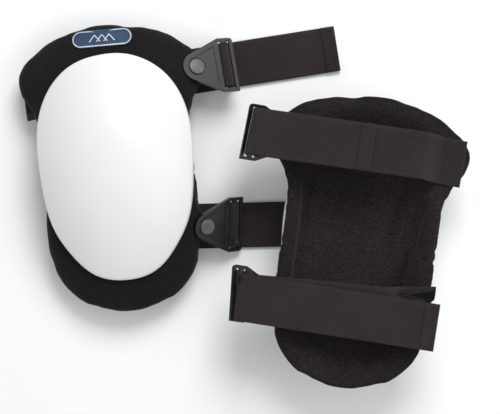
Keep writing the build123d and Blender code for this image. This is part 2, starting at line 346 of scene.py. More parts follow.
@dataclass(frozen=True)
class Moulding:
    """Satin moulded plastic or lacquered metal with a fine grain and rubbed spots."""

    name: str
    dark: tuple
    light: tuple
    roughness: float = 0.38
    metallic: float = 0.0
    grain: float = 1400.0
    depth: float = 0.00004

    def build(self) -> bpy.types.Material:
        """Make the material."""
        shader = Shader(self.name)
        place = shader.place()
        grain = shader.noise(place, self.grain, 3.0)
        wear = shader.noise(place, 120.0, 4.0)
        rubbed = shader.ramp(wear, (0.42, 0.0), (0.72, 1.0))
        return shader.finish(
            Base_Color=shader.blend(rubbed, self.dark, self.light),
            Roughness=wear * 0.2 + (self.roughness - 0.1),
            Metallic=self.metallic,
            Normal=shader.bump(grain, self.depth),
        )


@dataclass(frozen=True)
class HookTape:
    """Hook tape: a fine field of stiff hooks."""

    dark: tuple = (0.008, 0.008, 0.008, 1)
    light: tuple = (0.05, 0.048, 0.046, 1)

    def build(self) -> bpy.types.Material:
        """Make the material."""
        shader = Shader("hook_tape")
        hooks = shader.cells(shader.place(), 1100.0)
        return shader.finish(
            Base_Color=shader.ramp(hooks, (0.1, self.light), (0.6, self.dark)),
            Roughness=0.5,
            Normal=shader.bump(1 - hooks, 0.0005),
        )


class Slot(Enum):
    """The record's material slots."""

    CAP = "cap_plastic"
    COVER = "cover_fabric"
    LABEL = "label_patch"
    WEBBING = "webbing"
    HOOKS = "hook_tape"
    PLATE = "plate_plastic"
    RIVET = "rivet_metal"


FINISHES = {
    "cap": CapPlastic(),
    "cover": Fabric("cover_fabric", (0.0048, 0.0038, 0.0034, 1), (0.021, 0.0165, 0.0150, 1)),
    "liner": Fabric(
        "liner_fabric",
        (0.0070, 0.0054, 0.0050, 1),
        (0.040, 0.0310, 0.0282, 1),
        knit=1000.0,
        nap=520.0,
        depth=0.0003,
        fibres=0.30,
        sheen=0.06,
    ),
    "foam": Fabric("cushion_foam", (0.03, 0.03, 0.03, 1), (0.09, 0.09, 0.09, 1)),
    "webbing": Webbing("webbing", (0.010, 0.0076, 0.0070, 1), (0.044, 0.0335, 0.0310, 1)),
    "hooks": HookTape(),
    "plate": Moulding("plate_plastic", (0.0040, 0.0034, 0.0032, 1), (0.0095, 0.0082, 0.0078, 1)),
    "rivet": Moulding(
        "rivet_lacquer", (0.085, 0.075, 0.073, 1), (0.14, 0.125, 0.12, 1), 0.42, 0.25
    ),
    "washer": Moulding("washer_lacquer", (0.05, 0.045, 0.04, 1), (0.1, 0.09, 0.09, 1), 0.4, 0.8),
    "thread": Moulding("thread", (0.005, 0.005, 0.005, 1), (0.012, 0.011, 0.010, 1), 0.7),
    "label_ground": Moulding(
        "label_ground", (0.012, 0.035, 0.085, 1), (0.02, 0.055, 0.12, 1), 0.7, depth=0.00012
    ),
    "label_thread": Moulding(
        "label_thread", (0.40, 0.46, 0.52, 1), (0.62, 0.66, 0.70, 1), 0.65, depth=0.0001
    ),
}
MATERIALS: dict[str, bpy.types.Material] = {}


# ---------------------------------------------------------------- mesh tools


def piece_from(
    mesh_builder: bmesh.types.BMesh, name: str, finishes: list[str], smooth: bool = True
) -> bpy.types.Object:
    """Turn a bmesh into a finished piece of the scene.

    Args:
        mesh_builder: The shape, in the row frame; it is freed.
        name: The piece's name.
        finishes: Keys of the finishes its material slots take.
        smooth: Whether its faces are shaded smooth.

    Returns:
        The new object.
    """
    mesh = bpy.data.meshes.new(name)
    mesh_builder.to_mesh(mesh)
    mesh_builder.free()
    for finish in finishes:
        mesh.materials.append(MATERIALS[finish])
    if smooth:
        mesh.shade_smooth()
    piece = bpy.data.objects.new(name, mesh)
    bpy.context.scene.collection.objects.link(piece)
    return piece


def node_bmesh(*nodes: str) -> bmesh.types.BMesh:
    """Merged copy of CAD nodes' meshes, in the row frame.

    Args:
        *nodes: Node names.

    Returns:
        One bmesh that holds them all.
    """
    merged = bmesh.new()
    for node in nodes:
        merged.from_mesh(bpy.data.objects[node].data)
    bmesh.ops.remove_doubles(merged, verts=merged.verts, dist=MERGE_DISTANCE)
    return merged


def add_modifier(piece: bpy.types.Object, kind: str, **settings: object) -> None:
    """Add a modifier to a piece.

    Args:
        piece: The object.
        kind: The modifier's type.
        **settings: Its settings by name.
    """
    modifier = piece.modifiers.new(kind.lower(), kind)
    for key, value in settings.items():
        setattr(modifier, key, value)


def apply_modifiers(piece: bpy.types.Object) -> None:
    """Bake a piece's modifiers into its mesh.

    Args:
        piece: The object, which is left with no modifiers.
    """
    graph = bpy.context.evaluated_depsgraph_get()
    mesh = bpy.data.meshes.new_from_object(piece.evaluated_get(graph))
    piece.modifiers.clear()
    old, piece.data = piece.data, mesh
    bpy.data.meshes.remove(old)


def round_edges(shape: bmesh.types.BMesh, edges: list, offset: float) -> None:
    """Round edges with a bevel of two segments.

    Args:
        shape: The shape.
        edges: Its edges to round.
        offset: The bevel's width.
    """
    bmesh.ops.bevel(
        shape,
        geom=edges,
        offset=offset,
        segments=2,
        profile=0.5,
        affect="EDGES",
        material=-1,
    )


def smooth_step(value: float, low: float, high: float) -> float:
    """Ease from 0 at low to 1 at high."""
    share = min(1.0, max(0.0, (value - low) / (high - low)))
    return share * share * (3 - 2 * share)


# ---------------------------------------------------------------- pad frame and form


@dataclass(frozen=True)
class PadForm:
    """The pad's own curved form and the places on it.

    The form bends along its length about one radius, and across it about a radius that
    grows from the waist to the wings.
    """

    spine_radius: float = 0.300
    waist_side_radius: float = 0.153
    wing_side_radius: float = 0.217
    wing_height: float = 0.080
    wing_half_width: float = 0.0795
    waist_half_width: float = 0.0655
    thickness: float = 0.012
    cap_rise: float = 0.018
    cap_crown_height: float = 0.002
    cap_side_radius: float = 0.095
    cap_length_radius: float = 0.177
    upper_rivet: tuple = (0.0715, 0.0765)
    lower_rivet: tuple = (0.068, -0.055)

    def crown(self, x: float, y: float) -> float:
        """Height of the outer surface.

        Args:
            x: Distance across the pad.
            y: Distance along the pad.

        Returns:
            The height above the pad's own origin.
        """
        center = 1 / self.waist_side_radius
        slope = (center - 1 / self.wing_side_radius) / self.wing_height
        side = 1 / (center - slope * y)
        spine = math.sqrt(self.spine_radius**2 - y * y) - self.spine_radius
        return spine + math.sqrt(side * side - x * x) - side

    def dome(self, x: float, y: float) -> float:
        """Height of the cap's outer surface.

        Args:
            x: Distance across the pad.
            y: Distance along the pad.

        Returns:
            The height above the pad's own origin.
        """
        axis = self.cap_rise - self.cap_length_radius
        arch = self.cap_rise - self.cap_side_radius + math.sqrt(self.cap_side_radius**2 - x * x)
        return axis + math.sqrt((arch - axis) ** 2 - (y - self.cap_crown_height) ** 2)

    def surface(self, x: float, y: float, heading: float = 0.0) -> Matrix:
        """Frame that touches the outer surface.

        Args:
            x: Distance across the pad.
            y: Distance along the pad.
            heading: Direction of the frame's X, in degrees from the pad's X.

        Returns:
            The frame, its Z straight out of the surface.
        """
        step = 0.5 * MM
        slope_x = (self.crown(x + step, y) - self.crown(x - step, y)) / (2 * step)
        slope_y = (self.crown(x, y + step) - self.crown(x, y - step)) / (2 * step)
        normal = Vector((-slope_x, -slope_y, 1)).normalized()
        turn = math.radians(heading)
        forward = Vector((math.cos(turn), math.sin(turn), 0))
        along = (forward - normal * forward.dot(normal)).normalized()
        return frame_matrix(Vector((x, y, self.crown(x, y))), along, normal)


def frame_matrix(origin: Vector, along: Vector, up: Vector) -> Matrix:
    """Matrix of a right-handed frame.

    Args:
        origin: Where it lies.
        along: Its X direction.
        up: Its Z direction.

    Returns:
        The matrix from the frame to the space the directions are in.
    """
    across = up.cross(along).normalized()
    columns = Matrix((along, across, up)).transposed().to_4x4()
    columns.translation = origin
    return columns


FORM = PadForm()


def pad_matrix(record: dict, pad: str) -> Matrix:
    """Where a pad's own frame lies in the row frame.

    Args:
        record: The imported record.
        pad: The pad's name.

    Returns:
        The matrix from the pad's frame to the row frame.
    """
    seat = next(m for m in record["mounts"] if m["name"] == f"{pad}_knee_seat")
    joints = {joint["name"]: joint for joint in record["behaviour"]["joints"]}
    upper = Vector(joints[f"{pad}_upper_swivel"]["pos_m"])
    lower = Vector(joints[f"{pad}_lower_swivel"]["pos_m"])
    up = -Vector(seat["axis"])
    run = upper - lower
    run.z = 0
    lean = math.atan2(
        FORM.upper_rivet[0] - FORM.lower_rivet[0], FORM.upper_rivet[1] - FORM.lower_rivet[1]
    )
    length = Matrix.Rotation(lean, 3, up) @ run.normalized()
    origin = Vector(seat["pos_m"]) + up * FORM.thickness
    return frame_matrix(origin, length.cross(up), up)


# ---------------------------------------------------------------- padded body


@dataclass(frozen=True)
class Fold:
    """A soft crease pressed into one side of the pad, between two points."""

    start: tuple
    end: tuple
    width: float
    depth: float

    def press(self, x: float, y: float) -> float:
        """Depth of the crease at a point.

        Args:
            x: Distance across the pad.
            y: Distance along the pad.

        Returns:
            The depth, which fades at both ends.
        """
        ax, ay = self.start
        bx, by = self.end
        run = (bx - ax) ** 2 + (by - ay) ** 2
        share = ((x - ax) * (bx - ax) + (y - ay) * (by - ay)) / run
        held = min(1.0, max(0.0, share))
        gap = math.hypot(x - ax - held * (bx - ax), y - ay - held * (by - ay))
        fade = smooth_step(share, -0.08, 0.2) * (1 - smooth_step(share, 0.8, 1.08))
        return self.depth * math.exp(-((gap / self.width) ** 2)) * fade


@dataclass
class PaddedBody:
    """Foam body in its cover and liner: swollen as cloth, then creased and seamed.

    The liner sinks in a hollow under the kneecap, between two rolls along the sides.
    """

    voxel: float = 0.004
    shrink: float = 0.0006
    most_movement: float = 0.0035
    pressure: float = 3.5
    frames: int = 20
    smoothing: int = 12
    cloth_quality: int = 4
    cloth_mass: float = 0.3
    stretch_stiffness: float = 25
    shear_stiffness: float = 10
    bending_stiffness: float = 2
    seam_share: float = 0.82
    seam_width: float = 0.0022
    seam_depth: float = 0.0011
    side_facing: float = 0.3
    widest: float = 0.085
    creased_reach: tuple = (0.1, 0.135)
    hollow_depth: float = 0.0020
    hollow_center: float = 0.005
    hollow_size: tuple = (0.034, 0.055)
    roll_height: float = 0.0042
    roll_center: tuple = (0.056, -0.004)
    roll_size: tuple = (0.009, 0.048)
    wing_spread: float = 0.05
    tip_spread: float = 0.11
    fill: float = 0.7
    liner_folds: tuple = (
        Fold((0.046, 0.056), (0.047, -0.046), 0.0046, 0.0062),
        Fold((-0.047, 0.042), (-0.034, -0.048), 0.0050, 0.0060),
        Fold((0.030, 0.050), (0.040, -0.020), 0.0055, 0.0032),
        Fold((0.016, 0.050), (0.028, 0.000), 0.0050, 0.0026),
        Fold((-0.026, 0.048), (-0.022, -0.010), 0.0050, 0.0030),
        Fold((0.002, 0.050), (0.006, -0.034), 0.0070, 0.0020),
        Fold((-0.030, 0.060), (-0.026, 0.040), 0.0045, 0.0016),
        Fold((0.040, -0.066), (-0.038, -0.068), 0.0080, 0.0010),
    )
    cover_folds: tuple = (
        Fold((0.070, 0.052), (0.0655, 0.030), 0.0045, 0.0010),
        Fold((-0.074, 0.056), (-0.0655, 0.034), 0.0045, 0.0010),
        Fold((-0.050, 0.106), (-0.066, 0.088), 0.0060, 0.0008),
        Fold((0.020, -0.112), (-0.018, -0.112), 0.0050, 0.0006),
    )

    def form(self, to_row: Matrix, pad: str) -> bpy.types.Object:
        """Remesh the layers of one pad as one body, in the pad's own frame.

        Args:
            to_row: The matrix from the pad's frame to the row frame.
            pad: The pad's name.

        Returns:
            A working object.
        """
        layers = node_bmesh(f"{pad}_cover", f"{pad}_foam_core", f"{pad}_liner")
        bmesh.ops.transform(layers, matrix=to_row.inverted(), verts=layers.verts)
        mesh = bpy.data.meshes.new("padding_form")
        layers.to_mesh(mesh)
        layers.free()
        body = bpy.data.objects.new("padding_form", mesh)
        bpy.context.scene.collection.objects.link(body)
        add_modifier(body, "REMESH", mode="VOXEL", voxel_size=self.voxel)
        add_modifier(body, "SMOOTH", factor=0.5, iterations=4)
        apply_modifiers(body)
        return body

    def swell(self, body: bpy.types.Object) -> None:
        """Swell the body under pressure as cloth, each point moving only so far.

        Args:
            body: The working object.
        """
        mesh = body.data
        for vertex in mesh.vertices:
            vertex.co = vertex.co - vertex.normal * self.shrink
        start = [vertex.co.copy() for vertex in mesh.vertices]
        add_modifier(body, "CLOTH")
        cloth = body.modifiers[0].settings
        cloth.use_pressure = True
        cloth.uniform_pressure_force = self.pressure
        cloth.effector_weights.gravity = 0
        cloth.quality = self.cloth_quality
        cloth.mass = self.cloth_mass
        cloth.tension_stiffness = self.stretch_stiffness
        cloth.compression_stiffness = self.stretch_stiffness
        cloth.shear_stiffness = self.shear_stiffness
        cloth.bending_stiffness = self.bending_stiffness
        body.modifiers[0].point_cache.frame_end = self.frames
        for frame in range(1, self.frames + 1):
            bpy.context.scene.frame_set(frame)
        apply_modifiers(body)
        bpy.context.scene.frame_set(1)
        for vertex, before in zip(body.data.vertices, start):
            moved = vertex.co - before
            if moved.length > self.most_movement:
                vertex.co = before + moved.normalized() * self.most_movement

    def depth_share(self, point: Vector) -> float:
        """How far through the body a point is: 0 at the outer face, 1 at the knee."""
        x = min(self.widest, max(-self.widest, point.x))
        return (FORM.crown(x, point.y) - point.z) / FORM.thickness

    def sink(self, x: float, y: float) -> float:
        """How far the liner sinks at a point.

        Args:
            x: Distance across the pad.
            y: Distance along the pad.

        Returns:
            The hollow under the kneecap less the rolls along the sides.
        """
        wide, long = self.hollow_size
        hollow = math.exp(-((x / wide) ** 2) - ((y - self.hollow_center) / long) ** 2)
        roll_x, roll_y = self.roll_center
        wide, long = self.roll_size
        roll = math.exp(-(((abs(x) - roll_x) / wide) ** 2) - ((y - roll_y) / long) ** 4)
        return self.hollow_depth * hollow - self.roll_height * roll

    def crease(self, body: bpy.types.Object) -> None:
        """Pinch the edge seam and press the folds into both faces.

        Args:
            body: The working object.
        """
        for vertex in body.data.vertices:
            x, y, _ = vertex.co
            facing = vertex.normal.z
            if abs(x) > self.creased_reach[0] or abs(y) > self.creased_reach[1]:
                continue
            edge = 1 - smooth_step(abs(facing), 0.25, 0.75)
            offset = self.depth_share(vertex.co) - self.seam_share
            offset *= FORM.thickness / self.seam_width
            push = self.seam_depth * edge * math.exp(-offset * offset)
            if facing < -self.side_facing:
                push += sum(fold.press(x, y) for fold in self.liner_folds) + self.sink(x, y)
            elif facing > self.side_facing:
                push += sum(fold.press(x, y) for fold in self.cover_folds)
            vertex.co = vertex.co - vertex.normal * push

    def colour_sides(self, mesh: bpy.types.Mesh) -> None:
        """Give the liner's finish to the faces against the knee.

        Args:
            mesh: The body's mesh, its second material slot the liner's.
        """
        for face in mesh.polygons:
            inner = self.depth_share(face.center) > self.seam_share
            face.material_index = 1 if inner and face.normal.z < 0.35 else 0

    def splay(self, shape: bmesh.types.BMesh) -> None:
        """Spread the wings of a pad that lies on its cap.

        Args:
            shape: The body in the pad's own frame.
        """
        for vertex in shape.verts:
            x, y, _ = vertex.co
            spread = 1 + self.wing_spread * smooth_step(y, 0.01, 0.08)
            if x > 0:
                spread += self.tip_spread * smooth_step(y, 0.08, 0.108)
            vertex.co.x = x * spread

    def build(self, frames: dict[str, Matrix]) -> dict[str, bpy.types.Object]:
        """Make both pads' bodies from one form.

        Args:
            frames: Each pad's matrix to the row frame.

        Returns:
            The finished bodies by pad.
        """
        first = next(iter(frames))
        body = self.form(frames[first], first)
        self.swell(body)
        add_modifier(body, "SMOOTH", factor=0.5, iterations=self.smoothing)
        add_modifier(body, "SUBSURF", levels=1, render_levels=1)
        apply_modifiers(body)
        self.crease(body)
        add_modifier(body, "SMOOTH", factor=0.5, iterations=3)
        apply_modifiers(body)
        self.colour_sides(body.data)
        made = {}
        for pad, to_row in frames.items():
            shape = bmesh.new()
            shape.from_mesh(body.data)
            if to_row.to_3x3().col[2].z < 0:
                self.splay(shape)
            bmesh.ops.transform(shape, matrix=to_row, verts=shape.verts)
            piece = piece_from(shape, f"{pad}_padding", ["cover", "liner"])
            add_modifier(piece, "SUBSURF", levels=1, render_levels=1)
            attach(piece, pad)
            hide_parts(f"{pad}_cover", f"{pad}_foam_core", f"{pad}_liner")
            made[pad] = piece
        bpy.data.objects.remove(body)
        return made


# ---------------------------------------------------------------- hard cap


@dataclass
class HardCap:
    """Domed cap: a spun disc warped to the cap's egg outline and dome."""

    segments: int = 160
    rings: int = 26
    wall: float = 0.003
    sink: float = 0.0022
    even_share: float = 0.97
    edge_search: tuple = (0.04, 0.12)
    search_steps: int = 14
    edge_profile: tuple = ((0.985, 0.0), (0.994, 0.06), (0.999, 0.16), (1.0, 0.3), (1.0, 1.0))

    def edge_radii(self, tree: BVHTree) -> list[float]:
        """Distance from the centre to the cap's edge, for each spun segment.

        Args:
            tree: The CAD cap in the pad's own frame.

        Returns:
            The distances, each the mean of five neighbours.
        """
        radii = []
        down = Vector((0, 0, -1))
        for index in range(self.segments):
            angle = 2 * math.pi * index / self.segments
            way = Vector((math.cos(angle), math.sin(angle), 0))
            near, far = self.edge_search
            for _ in range(self.search_steps):
                middle = (near + far) / 2
                hit = tree.ray_cast(way * middle + Vector((0, 0, 0.1)), down)[0]
                near, far = (middle, far) if hit else (near, middle)
            radii.append(near)
        count = self.segments
        return [sum(radii[(i + k) % count] for k in range(-2, 3)) / 5 for i in range(count)]

    def build(self, pad: str, to_row: Matrix) -> bpy.types.Object:
        """Make one pad's cap.

        Args:
            pad: The pad's name.
            to_row: The matrix from the pad's frame to the row frame.

        Returns:
            The cap.
        """
        cad = node_bmesh(f"{pad}_cap")
        bmesh.ops.transform(cad, matrix=to_row.inverted(), verts=cad.verts)
        radii = self.edge_radii(BVHTree.FromBMesh(cad))
        cad.free()
        shape = bmesh.new()
        even = [ring / self.rings * self.even_share for ring in range(1, self.rings + 1)]
        outline = [(share, 0.0) for share in even]
        points = [shape.verts.new((x, 0, -z)) for x, z in (*outline, *self.edge_profile)]
        edges = [shape.edges.new(pair) for pair in zip(points, points[1:])]
        bmesh.ops.spin(
            shape,
            geom=points + edges,
            axis=(0, 0, 1),
            cent=(0, 0, 0),
            angle=2 * math.pi,
            steps=self.segments,
            use_merge=True,
        )
        inner = [edge for edge in shape.edges if edge.is_boundary and edge.verts[0].co.z == 0]
        inner = [edge for edge in inner if edge.verts[0].co.to_2d().length < 0.5]
        ring = bmesh.ops.extrude_edge_only(shape, edges=inner)["geom"]
        center = [vertex for vertex in ring if isinstance(vertex, bmesh.types.BMVert)]
        bmesh.ops.pointmerge(shape, verts=center, merge_co=(0, 0, 0))
        for vertex in shape.verts:
            x, y, drop = vertex.co.x, vertex.co.y, -vertex.co.z
            share = math.atan2(y, x) / (2 * math.pi) % 1 * self.segments
            low = int(share) % self.segments
            high = (low + 1) % self.segments
            radius = radii[low] + (radii[high] - radii[low]) * (share - int(share))
            x, y = x * radius, y * radius
            top = FORM.dome(x, y)
            vertex.co = (x, y, top - drop * (top - FORM.crown(x, y) + self.sink))
        bmesh.ops.transform(shape, matrix=to_row, verts=shape.verts)
        bmesh.ops.recalc_face_normals(shape, faces=shape.faces)
        if shape.faces[0].normal.dot(to_row.to_3x3() @ Vector((0, 0, 1))) < 0:
            bmesh.ops.reverse_faces(shape, faces=shape.faces)
        piece = piece_from(shape, f"{pad}_hard_cap", ["cap"])
        add_modifier(piece, "SOLIDIFY", thickness=self.wall, offset=-1.0)
        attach(piece, pad)
        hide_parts(f"{pad}_cap")
        return piece


# ---------------------------------------------------------------- label


@dataclass
class Label:
    """Sewn patch with a raised border and three plain chevrons, laid on the cover."""

    center: tuple = (-0.0035, 0.1070)
    length: float = 0.050
    width: float = 0.015
    lift: float = 0.0017
    thickness: float = 0.0007
    corners: int = 48
    rim: float = 0.0008
    grid: tuple = ((9, 0.0027), (3, 0.0018))
    bar_width: float = 0.0011
    bar_height: float = 0.0006
    bar_round: float = 0.0002
    chevron_pitch: float = 0.006
    chevron_half: float = 0.0045
    chevron_foot: float = -0.003
    chevron_peak: float = 0.0028

    def outline(self, shape: bmesh.types.BMesh, inset: float) -> list:
        """Ring of points round the patch's stadium shape.

        Args:
            shape: The shape they are added to.
            inset: How far inside the patch's edge they lie.

        Returns:
            The points in order.
        """
        half = self.width / 2 - inset
        straight = self.length / 2 - self.width / 2
        points = []
        for index in range(self.corners):
            angle = 2 * math.pi * index / self.corners
            x, y = half * math.cos(angle), half * math.sin(angle)
            points.append(shape.verts.new((x + math.copysign(straight, x), y, 0)))
        return points

    def drape(self, shape: bmesh.types.BMesh, tree: BVHTree, to_row: Matrix, lift: float) -> None:
        """Lay flat geometry on the cover, keeping its own height above it.

        Args:
            shape: The geometry, flat about the label's own centre.
            tree: The padded body.
            to_row: The matrix from the pad's frame to the row frame.
            lift: How far the geometry's own zero stands off the cover.
        """
        up = to_row.to_3x3() @ Vector((0, 0, 1))
        for vertex in shape.verts:
            x, y = vertex.co.x + self.center[0], vertex.co.y + self.center[1]
            high = to_row @ Vector((x, y, 0.03))
            hit, normal, *_ = tree.ray_cast(high, -up)
            base = hit if hit is not None else to_row @ Vector((x, y, FORM.crown(x, y)))
            vertex.co = base + up * (vertex.co.z + lift)

    def ground(self, shape: bmesh.types.BMesh) -> None:
        """Fill the patch and give it thickness and a grid that can bend.

        Args:
            shape: The empty shape.
        """
        face = shape.faces.new(self.outline(shape, 0.0))
        bmesh.ops.inset_region(shape, faces=[face], thickness=self.rim, use_even_offset=True)
        for (count, pitch), way in zip(self.grid, ((1, 0, 0), (0, 1, 0))):
            for step in range(-count, count + 1):
                geometry = shape.verts[:] + shape.edges[:] + shape.faces[:]
                place = Vector(way) * (step * pitch)
                bmesh.ops.bisect_plane(shape, geom=geometry, plane_co=place, plane_no=way)
        bmesh.ops.solidify(shape, geom=shape.faces[:], thickness=self.thickness)

    def bar(self, shape: bmesh.types.BMesh, start: tuple, end: tuple) -> None:
        """Add one raised satin-stitched bar.

        Args:
            shape: The shape it is added to.
            start: Where it starts on the flat label.
            end: Where it ends.
        """
        run = Vector(end) - Vector(start)
        before = set(shape.verts)
        made = bmesh.ops.create_cube(shape, size=1.0)["verts"]
        edges = {edge for vertex in made for edge in vertex.link_edges}
        bmesh.ops.scale(shape, vec=(run.length, self.bar_width, self.bar_height), verts=made)
        round_edges(shape, list(edges), self.bar_round)
        fresh = [vertex for vertex in shape.verts if vertex not in before]
        turn = Matrix.Rotation(math.atan2(run.y, run.x), 4, "Z")
        middle = (Vector(start) + Vector(end)) / 2
        move = Matrix.Translation((middle.x, middle.y, 0)) @ turn
        bmesh.ops.transform(shape, matrix=move, verts=fresh)

    def build(self, pad: str, to_row: Matrix, body: bpy.types.Object) -> None:
        """Make one pad's label and its stitched border and marks.

        Args:
            pad: The pad's name.
            to_row: The matrix from the pad's frame to the row frame.
            body: The padded body it is sewn to.
        """
        graph = bpy.context.evaluated_depsgraph_get()
        tree = BVHTree.FromObject(body, graph)
        ground = bmesh.new()
        self.ground(ground)
        self.drape(ground, tree, to_row, self.lift * 0.6)
        bmesh.ops.recalc_face_normals(ground, faces=ground.faces)
        patch = piece_from(ground, f"{pad}_label_patch", ["label_ground"])
        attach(patch, pad)
        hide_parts(f"{pad}_label")
        marks = bmesh.new()
        ring = [tuple(v.co.to_2d()) for v in self.outline(marks, self.bar_width)]
        bmesh.ops.delete(marks, geom=marks.verts[:], context="VERTS")
        for index, start in enumerate(ring):
            self.bar(marks, start, ring[(index + 1) % len(ring)])
        for middle in (-self.chevron_pitch, 0.0, self.chevron_pitch):
            peak = (middle, self.chevron_peak)
            self.bar(marks, (middle - self.chevron_half, self.chevron_foot), peak)
            self.bar(marks, peak, (middle + self.chevron_half, self.chevron_foot))
        self.drape(marks, tree, to_row, self.lift)
        thread = piece_from(marks, f"{pad}_label_stitching", ["label_thread"])
        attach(thread, pad)


# ---------------------------------------------------------------- straps


@dataclass(frozen=True)
class Lie:
    """How one strap lies: headings in degrees, and its free length past the plate.

    The free end leans off the run under it by some degrees, about its plate.
    """

    pad: str
    place: str
    plate_heading: float
    run_heading: float
    free: float
    fastened: bool
    tab_flexes: bool = True
    lean: float = 0.0
    past_edge: float = 0.0005

    @property
    def key(self) -> str:
        """Name that the strap's nodes and bodies start with."""
        return f"{self.pad}_{self.place}"


LIES = (
    Lie("pad_1", "upper", 4.5, 4.0, 0.092, False, past_edge=-0.012),
    Lie("pad_1", "lower", -7.0, -3.5, 0.074, False, False, past_edge=-0.004),
    Lie("pad_2", "upper", 4.0, 0.5, 0.098, True),
    Lie("pad_2", "lower", -4.0, -2.0, 0.160, True, lean=3.4, past_edge=0.004),
)


@dataclass
class Station:
    """A place on the webbing's middle line, with its direction and width direction."""

    point: Vector
    along: Vector
    across: Vector


@dataclass
class Strap:
    """Webbing threaded through a plate, with a stitched hook tab at its free end.

    Shares are parts of the tab's length from its seam to its end.
    """

    width: float = 0.038
    thickness: float = 0.0018
    tab: float = 0.028
    hooks: float = 0.0012
    ear_radius: float = 0.0095
    ear_clearance: float = 0.004
    inner_slot: float = 0.0225
    outer_slot: float = 0.0295
    plate_gap: float = 0.0003
    plate_thickness: float = 0.0026
    slot_run_out: float = 0.0015
    layer_gap: float = 0.0003
    sewn_gap: float = 0.0008
    sewn_length: float = 0.012
    settling_length: float = 0.038
    anchor_inset: float = 0.004
    swivel_cut: float = 0.0195
    turn_radius: float = 0.005
    trimmed_length: float = 0.030
    resting_samples: int = 24
    resting_gap: float = 0.0013
    most_rest: float = 0.007
    most_trim: float = 0.014
    sample: float = 0.0024
    columns: int = 14
    flat_share: float = 0.92
    bent_radii: float = 2.5
    hem_lift: float = 0.55
    hem_shares: tuple = (0.60, 1.01)
    row_shares: tuple = (0.62, 0.92)
    row_margin: float = 0.0025
    anchor_rows: tuple = (0.003, 0.009)
    hook_margins: tuple = (0.0033, 0.003)
    hook_round: float = 0.0004
    peel_half: float = 0.005
    stitch_pitch: float = 0.0031
    stitch_size: tuple = (0.0012, 0.00042, 0.000504)

    def route(self, lie: Lie, floor: float) -> tuple[list[Station], list[Station], dict]:
        """Stations of one strap in its pad's frame.

        Args:
            lie: How the strap lies.
            floor: Height that the pad's straps lie at, in the pad's frame.

        Returns:
            The threaded length, the free end, and named places on them.
        """
        x, y = FORM.upper_rivet if lie.place == "upper" else FORM.lower_rivet
        plate = FORM.surface(x, y, lie.plate_heading)
        plate_x, plate_y, plate_z = (plate.to_3x3().col[i].copy() for i in range(3))
        origin = plate.translation
        turn = math.radians(lie.run_heading)
        along = Vector((math.cos(turn), math.sin(turn), 0))
        across = Vector((-math.sin(turn), math.cos(turn), 0))
        down = Vector((0, 0, -1))
        half = self.thickness / 2

        def on_plate(distance: float, height: float) -> Vector:
            """Point at a distance from the rivet along the plate, and a height over it."""
            return origin + plate_x * distance + plate_z * height

        def on_run(distance: float, level: float) -> Vector:
            """Point at a distance from the rivet along the run, at a level."""
            return Vector((x + along.x * distance, y + along.y * distance, level))

        level = floor + half
        edge = FORM.wing_half_width if lie.place == "upper" else FORM.waist_half_width
        anchor_distance = -(x + edge - self.anchor_inset) / math.cos(turn)
        spot = on_run(anchor_distance, 0)
        anchor = FORM.surface(spot.x, spot.y, lie.run_heading)
        anchor_x, anchor_y, anchor_z = (anchor.to_3x3().col[i].copy() for i in range(3))
        sewn = anchor.translation - anchor_z * (FORM.thickness + self.sewn_gap + half)
        rivet_back = -self.swivel_cut / 2
        threaded = [
            Station(sewn - anchor_x * self.anchor_inset, anchor_x, anchor_y),
            Station(sewn + anchor_x * self.sewn_length + down * MM, anchor_x, anchor_y),
            Station(on_run(anchor_distance + self.settling_length, level), along, across),
            Station(on_run(rivet_back, level), along, across),
            Station(on_run(self.ear_radius + self.ear_clearance, level), along, across),
            Station(
                on_plate(self.inner_slot, -self.slot_run_out), plate_z + plate_x * 0.4, plate_y
            ),
        ]
        bar = (self.inner_slot + self.outer_slot) / 2
        bend = (self.outer_slot - self.inner_slot) / 2
        bar_height = self.plate_gap + self.plate_thickness / 2
        for step in range(5):
            angle = math.radians(45 * step)
            point = on_plate(bar - bend * math.cos(angle), bar_height + bend * math.sin(angle))
            way = plate_x * math.sin(angle) + plate_z * math.cos(angle)
            threaded.append(Station(point, way, plate_y))
        slot_exit = on_plate(self.outer_slot, -self.slot_run_out)
        threaded.append(Station(slot_exit, -plate_z, plate_y))
        if lie.fastened:
            way, reach = -along, -1
            free_level = level - self.thickness - self.hooks - self.layer_gap
        else:
            way, reach = along, 1
            free_level = floor + self.hooks + half
        exit_distance = (slot_exit - on_run(0, slot_exit.z)).dot(along)
        swing = Matrix.Rotation(math.radians(lie.lean), 3, "Z")
        pivot = Vector((x, y, 0)) + along * exit_distance
        way, across = swing @ way, swing @ across
        along = swing @ along

        def on_free(distance: float, level: float) -> Vector:
            """Point at a distance from the rivet along the leaning free end, at a level."""
            spot = pivot + along * (distance - exit_distance)
            return Vector((spot.x, spot.y, level))

        radius = min(self.turn_radius, 0.75 * (slot_exit.z - free_level))
        corner = on_free(exit_distance, free_level + radius)
        threaded.append(Station(corner, down, across))
        for angle in (math.radians(45), math.radians(90)):
            sine, cosine = math.sin(angle), math.cos(angle)
            point = corner + way * radius * (1 - cosine) + down * radius * sine
            threaded.append(Station(point, way * sine + down * cosine, across))
        seam = exit_distance + reach * (lie.free - self.tab)
        split = rivet_back if lie.fastened else exit_distance + self.bent_radii * radius
        threaded.append(Station(on_free(split, free_level), way, across))
        end = seam + reach * self.tab
        free = [
            Station(on_free(split, free_level), way, across),
            Station(on_free(seam, free_level), way, across),
            Station(on_free(end, free_level), way, across),
        ]
        places = {
            "inboard": on_run(rivet_back, level),
            "slot": on_plate(self.inner_slot, -self.slot_run_out),
            "seam": on_free(seam, free_level),
            "end": on_free(end, free_level),
            "sewn": sewn,
            "sewn_way": anchor_x,
            "sewn_across": anchor_y,
            "way": way,
            "across": across,
            "outer": down,
        }
        return threaded, free, places

